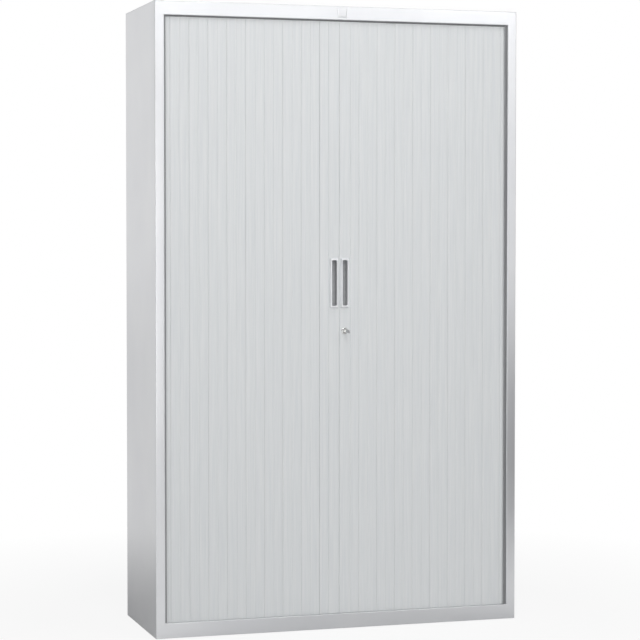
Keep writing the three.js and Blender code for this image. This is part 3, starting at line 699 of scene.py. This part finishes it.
for side in SIDES:
    soften(f"{side}_lead_slat", f"{side}_leading_edge", SLAT, f"{side}_door", "slats",
           moved=close_seams, edge=0.35, segments=3)

# %% [markdown]
# ## Handles
#
# A handle is a raised silver frame round a deep, narrow cup of dark plastic. Both are rings: a
# rounded rectangle whose width, height and corner radius change from ring to ring, each ring at
# its own depth.


# %% Rings of rounded rectangles
def ring(width, height, radius, depth, steps=7):
    """Rounded rectangle round the Y axis: four arcs, one per corner, each a centre plus
    radius * (cos t, sin t), with t running a quarter turn."""
    turn = np.linspace(0, np.pi / 2, steps)[None, :] + np.arange(4)[:, None] * np.pi / 2
    x = np.array([1, -1, -1, 1])[:, None] * (width / 2 - radius) + radius * np.cos(turn)
    z = np.array([1, 1, -1, -1])[:, None] * (height / 2 - radius) + radius * np.sin(turn)
    return np.stack([x.ravel(), np.full(x.size, depth), z.ravel()], 1)


def rings(rows, place, closed=False):
    """Skin through rings given as (width, height, radius, depth), moved to their place."""
    grid = np.array([ring(*row) for row in rows]) + place
    return grid_skin(grid, closed)


# %% Handle frames
HANDLE_X, HANDLE_Z = 17.6, 1105.0
SEAT = CURTAIN - THICK / 2 - 1 - FIT
CUP_W, CUP_H = 16.5, 145.0
FACE = SEAT - 7.5
frame_rows = [
    (CUP_W, CUP_H, 4.0, SEAT),
    (29.0, 159.0, 1.6, SEAT),
    (29.2, 159.2, 1.8, SEAT - 0.35),
    (28.9, 158.9, 1.8, SEAT - 0.9),
    (23.2, 153.2, 1.6, FACE + 1.0),
    (22.6, 152.6, 1.6, FACE + 0.35),
    (21.6, 151.6, 1.5, FACE),
    (CUP_W + 1.6, CUP_H + 1.6, 4.6, FACE),
    (CUP_W + 0.5, CUP_H + 0.5, 4.2, FACE + 0.25),
    (CUP_W, CUP_H, 4.0, FACE + 0.9),
]
for side, sign in SIDES.items():
    place = (sign * HANDLE_X, 0, HANDLE_Z)
    make(f"{side}_grip_frame", [rings(frame_rows, place, True)], SILVER, f"{side}_door",
         "silver_trim", f"{side}_handle_frame", smooth=50)

# %% Handle cups
MOUTH = CURTAIN - THICK / 2 - 1
CUP_BACK = -187.0
cup_rows = [
    (4.0, 130.0, 1.5, CUP_BACK),
    (CUP_W + 0.2, CUP_H + 0.2, 4.6, CUP_BACK),
    (CUP_W + 2.2, CUP_H + 2.2, 5.2, CUP_BACK - 0.5),
    (CUP_W + 3.2, CUP_H + 3.2, 5.6, CUP_BACK - 2),
    (CUP_W + 3.2, CUP_H + 3.2, 5.6, MOUTH + 0.4),
    (CUP_W + 2.6, CUP_H + 2.6, 5.3, MOUTH),
    (CUP_W + 0.5, CUP_H + 0.5, 4.2, MOUTH),
    (CUP_W, CUP_H, 4.0, MOUTH + 0.3),
    (CUP_W - 0.3, CUP_H - 0.6, 4.0, CUP_BACK - 5.2),
    (CUP_W - 1.0, CUP_H - 1.6, 3.8, CUP_BACK - 3.2),
    (CUP_W - 3.0, CUP_H - 4.0, 3.0, CUP_BACK - 1.9),
    (CUP_W - 6.0, CUP_H - 8.0, 2.0, CUP_BACK - 1.6),
    (4.0, 130.0, 1.5, CUP_BACK - 1.6),
]
for side, sign in SIDES.items():
    place = (sign * HANDLE_X, 0, HANDLE_Z)
    make(f"{side}_finger_cup", [rings(cup_rows, place)], DARK, f"{side}_door", "dark_plastic",
         f"{side}_handle_cup", smooth=50)

# %% [markdown]
# ## The lock
#
# The collar and barrel are turned on a lathe, so their skin is a profile carried round the axis:
# x = radius * cos t, z = radius * sin t. The profile gets its small radii before it is turned.

# %% Lock housing
LOCK = np.array([18.2, 0, 952.5])


def full_turn(steps):
    """Angles evenly spread over a full turn."""
    return np.linspace(0, 2 * np.pi, steps, endpoint=False)


def turned(profile, centre, steps=72):
    """Skin of a closed (radius, depth) profile carried once round the Y axis through centre."""
    angle = full_turn(steps)[:, None]
    radius, depth = profile[None, :, 0], profile[None, :, 1] + 0 * angle
    grid = np.stack([radius * np.cos(angle), depth, radius * np.sin(angle)], -1)
    return grid_skin(grid + centre, closed=True)


housing = [
    (6.35, SEAT - 3), (9.6, SEAT - 3), (11, SEAT - 1.4), (11, SEAT), (9, SEAT), (9, -180),
    (6.35, -180),
]
profile = rounded(housing, [0.5, 1.4, 1.2, 0.2, 0.2, 0.4, 0.3], 6)
make("lock_collar", [turned(profile, LOCK)], NICKEL, "right_door", "lock_steel", "lock_housing",
     smooth=60)
soften("lock_plug", "lock_core", NICKEL, "lock", "lock_steel", edge=0.3)
soften("lock_cam", "lock_tongue", NICKEL, "lock", "lock_steel", edge=0.4)
soften("lock_keeper", "lock_catch", NICKEL, "left_door", "lock_steel", edge=0.4)
soften("key_blade", "key_bit", NICKEL, "key", "lock_steel", edge=0.3)

# %% [markdown]
# The key's head is moulded plastic with a waist for the fingertips. Its skin is a stack of rounded
# rectangles along the key's axis, and t runs from 0 at the neck to 1 at the free end. The height
# swells by 3 mm between t = 0.12 and 0.47, the width narrows by 1.6 mm round t = 0.7, and both
# draw in along a quarter ellipse at each end.

# %% Key head
head_low, head_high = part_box("key_head")
length = (head_high.y - head_low.y) * 1000
near = head_high.y * 1000 - shift
t = np.linspace(0, 1, 25)
swell = 0.5 - 0.5 * np.cos(np.pi * np.clip((t - 0.12) / 0.35, 0, 1))
round_end = np.sqrt(1 - np.clip((t - 0.86) / 0.14, 0, 1) ** 2 * 0.8)
round_start = np.sqrt(1 - np.clip((0.05 - t) / 0.05, 0, 1) ** 2 * 0.5)
tall = (8.5 + 3.0 * swell) * round_end * round_start
wide = (5.0 + 1.0 * swell - 1.6 * np.exp(-(((t - 0.7) / 0.12) ** 2))) * round_end * round_start
head_rows = np.stack([wide, tall, np.minimum(wide, tall) * 0.38, near - t * length], 1)
make("key_grip", [rings(head_rows, LOCK)], GREY, "key", "dark_plastic", "key_head", smooth=50)
print("key head:", round(length, 1), "mm long")

# %% [markdown]
# ## Feet and the blank plate
#
# A levelling foot is a rubber pad under a hexagon nut on a threaded stud. The thread is a sleeve
# whose radius goes up and down once per turn and once per pitch. With w = height / pitch - angle /
# full turn, and w % 1 its part after the point, radius = core + depth * |2 * (w % 1) - 1|.

# %% Feet
FOOT_X, FOOT_Y = 538.0, 153.0
PAD_TOP, NUT_TOP = 7.0, 15.0
THREAD_CORE, THREAD_DEPTH, THREAD_PITCH = 4.3, 0.7, 1.25


def around_z(radius, height, angle):
    """Grid of points round the Z axis: (radius * cos angle, radius * sin angle, height)."""
    return np.stack([radius * np.cos(angle), radius * np.sin(angle), height + 0 * angle], -1)


profile = [(0.5, 0), (17, 0), (17, 3.5), (9, PAD_TOP), (0.5, PAD_TOP)]
profile = rounded(profile, [0, 0.8, 1.2, 0.6, 0], 5)
pad = around_z(profile[:, 0, None], profile[:, 1, None], full_turn(48))
profile = np.array([(8.4, PAD_TOP), (9, PAD_TOP + 0.6), (9, NUT_TOP - 0.6), (8.4, NUT_TOP)])
nut = around_z(profile[:, 0, None], profile[:, 1, None], full_turn(6))
height = np.linspace(NUT_TOP, PAN - SHEET - FIT, 70)[:, None]
angle = full_turn(24)
wave = np.abs((height / THREAD_PITCH - angle / (2 * np.pi)) % 1 * 2 - 1)
thread = around_z(THREAD_CORE + THREAD_DEPTH * wave, height, angle)
for side, sign in SIDES.items():
    for end, back in (("front", -1), ("back", 1)):
        spot = np.array([sign * FOOT_X, back * FOOT_Y, 0])
        skins = [grid_skin(grid + spot) for grid in (pad, nut, thread)]
        make(f"{side}_{end}_levelling_foot", skins, RUBBER, "cabinet", "feet",
             f"{side}_{end}_foot", smooth=40)

# %% [markdown]
# In the middle of the top rail, 6 mm to the right as in the photograph, sits a thin bare plate. It
# is a rounded square with a soft edge, stacked from rings like the handle.

# %% Blank plate
PLATE_X, PLATE_BACK = 6.0, FRONT - FIT
plate_rows = [
    (28.8, 26.8, 2.2, PLATE_BACK),
    (30, 28, 2.4, PLATE_BACK - 0.25),
    (30, 28, 2.4, PLATE_BACK - 0.7),
    (29.4, 27.4, 2.2, PLATE_BACK - 1),
    (20, 18, 1.0, PLATE_BACK - 1),
]
place = (PLATE_X, 0, HEIGHT - TOP_RAIL / 2)
make("bare_plate", [rings(plate_rows, place)], PLATE, "cabinet", "silver_trim", "blank_plate",
     smooth=50)

# %% [markdown]
# ## The studio
#
# The cupboard stands on a pale floor in front of white. The white is only what the camera sees, and
# what glass or steel mirrors of it: Light Path tells these rays from the rays that carry light, so
# the backdrop can be white while the lamps stay gentle. A backdrop hangs behind the object only.
# What the steel mirrors from the room in front is therefore dim, as in a real studio, and that is
# what gives the stiles and the lock their contrast. Three helpers keep the node trees readable.

# %% World
world = bpy.data.worlds.new("studio")
bpy.context.scene.world = world
world.use_nodes = True
tree = world.node_tree
background = tree.nodes["Background"]


def between(share, low, high, start=0.0, end=1.0):
    """low + (high - low) * (share - start) / (end - start), kept between low and high."""
    spread = tree.nodes.new("ShaderNodeMapRange")
    for name, value in {"From Min": start, "From Max": end, "To Min": low, "To Max": high}.items():
        spread.inputs[name].default_value = value
    tree.links.new(share, spread.inputs["Value"])
    return spread.outputs["Result"]


def combined(kind, one, other):
    """Two values worked out together: MAXIMUM or MULTIPLY."""
    maths = tree.nodes.new("ShaderNodeMath")
    maths.operation = kind
    tree.links.new(one, maths.inputs[0])
    tree.links.new(other, maths.inputs[1])
    return maths.outputs["Value"]


def measured(kind, point, fixed):
    """One number from a point and a fixed vector: their DISTANCE or their DOT_PRODUCT."""
    maths = tree.nodes.new("ShaderNodeVectorMath")
    maths.operation = kind
    maths.inputs[1].default_value = fixed
    tree.links.new(point, maths.inputs[0])
    return maths.outputs["Value"]


rays = tree.nodes.new("ShaderNodeLightPath").outputs
direction = tree.nodes.new("ShaderNodeTexCoord").outputs["Generated"]
behind = between(measured("DOT_PRODUCT", direction, (0, 1, 0)), 0.0, 1.0, -0.15, 0.15)
seen = combined("MAXIMUM", rays["Is Camera Ray"], rays["Is Transmission Ray"])
seen = combined("MAXIMUM", seen, combined("MULTIPLY", rays["Is Glossy Ray"], behind))
background.inputs["Color"].default_value = (1, 1, 1, 1)
tree.links.new(between(seen, 0.3, 1.0), background.inputs["Strength"])

# %% [markdown]
# The floor is a large sheet of paper. Seen by the camera it is nearly white, whiter with distance,
# and the rest of the share keeps the object's shadow. The steel mirrors it too, as a glow with a
# painted shadow: little at the foot of the cupboard, more further out. In front only the middle is
# dimmed, as the cupboard's painted shadow, and beside it the open floor lightens the ends of the
# bottom rail and the feet of the stiles. Further out, to the right of the camera, painted shade
# makes the floor's tone and its mirrored glow dark, and this dark patch is what the lower half of
# the right stile mirrors in the photograph. It begins where both y and y - 1.9 x are small.
# All distances are in metres.

# %% Floor
floor_mesh = bpy.data.meshes.new("studio_floor")
edge = 30.0
corners = [(-edge, -edge, 0), (edge, -edge, 0), (edge, edge, 0), (-edge, edge, 0)]
floor_mesh.from_pydata(corners, [], [(0, 1, 2, 3)])
floor = bpy.data.objects.new("studio_floor", floor_mesh)
bpy.context.scene.collection.objects.link(floor)
paper = bpy.data.materials.new("floor_paper")
paper.use_nodes = True
tree = paper.node_tree
shader = tree.nodes["Principled BSDF"]
shader.inputs["Roughness"].default_value = 0.9
rays = tree.nodes.new("ShaderNodeLightPath").outputs
spot = tree.nodes.new("ShaderNodeTexCoord").outputs["Object"]
y = measured("DOT_PRODUCT", spot, (0, 1, 0))
distance = measured("DISTANCE", spot, (0, 0, 0))
# Painted shade on the floor: where this mask is 0, further out to the front right, the tone drops
# from 0.7 to 0.2 and the mirrored glow goes out.
left_part = between(measured("DOT_PRODUCT", spot, (-1.9, 1, 0)), 0.0, 1.0, -4.6, -3.4)
bright = combined("MAXIMUM", between(y, 0.0, 1.0, -2.4, -1.2), left_part)
floor_tone_painted_shade = tree.nodes.new("ShaderNodeMix")
floor_tone_painted_shade.data_type = "RGBA"
floor_tone_painted_shade.inputs["A"].default_value = (0.2, 0.2, 0.2, 1)
floor_tone_painted_shade.inputs["B"].default_value = (0.7, 0.7, 0.7, 1)
tree.links.new(bright, floor_tone_painted_shade.inputs["Factor"])
tree.links.new(floor_tone_painted_shade.outputs["Result"], shader.inputs["Base Color"])
seen = combined("MAXIMUM", rays["Is Camera Ray"], rays["Is Transmission Ray"])
seen = combined("MULTIPLY", seen, between(distance, 0.89, 1.0, 0.9, 2.2))
# These masks paint the cupboard's shadow into the glow that the steel mirrors: weak at its foot,
# dim in front of its middle, brighter beside it and further out.
in_front = between(y, 0.0, 1.0, -0.1, -0.3)
beside = between(measured("DISTANCE", spot, (0.15, -0.2, 0)), 0.0, 0.85, 0.2, 0.75)
mirrored_painted_shadow = between(distance, 0.14, 0.8, 0.8, 2.4)
mirrored_painted_shadow = combined("MAXIMUM", mirrored_painted_shadow, combined("MULTIPLY", beside, in_front))
mirrored_painted_shadow = combined("MULTIPLY", combined("MULTIPLY", rays["Is Glossy Ray"], bright), mirrored_painted_shadow)
glow = tree.nodes.new("ShaderNodeEmission")
mix = tree.nodes.new("ShaderNodeMixShader")
tree.links.new(combined("MAXIMUM", seen, mirrored_painted_shadow), mix.inputs["Fac"])
tree.links.new(shader.outputs["BSDF"], mix.inputs[1])
tree.links.new(glow.outputs["Emission"], mix.inputs[2])
tree.links.new(mix.outputs["Shader"], tree.nodes["Material Output"].inputs["Surface"])
floor_mesh.materials.append(paper)

# %% [markdown]
# Six soft lamps light the cupboard, five in front and one above. Two hang high, left and right of
# the middle: the curtain gets its light from them, and the stiles and the top rail mirror them in
# their upper halves, which is where the photograph shows them brightest. The low ones fill in from
# below, so that the curtain fades only a little towards the floor. The one above puts the shadow
# line under the top rail. Their powers in watts were fitted together: each lamp was rendered alone,
# and a least-squares sum of these pictures was matched to the brightness of a few dozen places.

# %% Lamps
def soft_lamp(name, place, target, size, watts):
    """A rectangular area lamp at a place, facing a target. Its size is (width, height)."""
    data = bpy.data.lights.new(name, "AREA")
    data.shape, data.size, data.size_y, data.energy = "RECTANGLE", *size, watts
    lamp = bpy.data.objects.new(name, data)
    bpy.context.scene.collection.objects.link(lamp)
    lamp.location = place
    facing = np.array(target, float) - place
    lamp.rotation_euler = (
        math.atan2(math.hypot(facing[0], facing[1]), -facing[2]),
        0,
        math.atan2(facing[1], facing[0]) - math.pi / 2,
    )
    return lamp


lamps = {
    "high_front": ((-0.5, -3.6, 3.1), (0.9, 0.8), 40),
    "low_front": ((-0.5, -3.6, 1.0), (0.9, 1.6), 19),
    "middle": ((0.8, -3.6, 2.2), (0.9, 0.8), 4),
    "high_right": ((2.0, -3.6, 3.1), (0.9, 0.8), 14.5),
    "tall_right": ((2.0, -3.6, 1.6), (0.9, 2.0), 7),
    "top": ((0.0, -1.8, 4.2), (3.0, 1.2), 27),
}
middle_of_front = (0, -0.2, 1.0)
for name, (place, size, watts) in lamps.items():
    soft_lamp(name, place, middle_of_front, size, watts)

# %% [markdown]
# The photograph was taken from the left, a little above half height, with upright lines nearly
# upright: the camera looks down by two degrees, and a small shift of the lens moves the cupboard
# into the frame. Place, angles and lens come from a fit to the corners of the cupboard. A larger
# shift would fit them by up to a pixel more, but would cut the top off in views from other sides.

# %% Camera
camera_data = bpy.data.cameras.new("camera")
camera_data.sensor_width, camera_data.lens = 36.0, 116.94
camera_data.shift_y = -0.03
camera = bpy.data.objects.new("camera", camera_data)
bpy.context.scene.collection.objects.link(camera)
camera.location = (-2.0172, -6.4728, 1.2693)
camera.rotation_euler = (math.radians(88.084), 0, math.radians(-17.249))
bpy.context.scene.camera = camera
bpy.context.scene.view_settings.view_transform = "Standard"
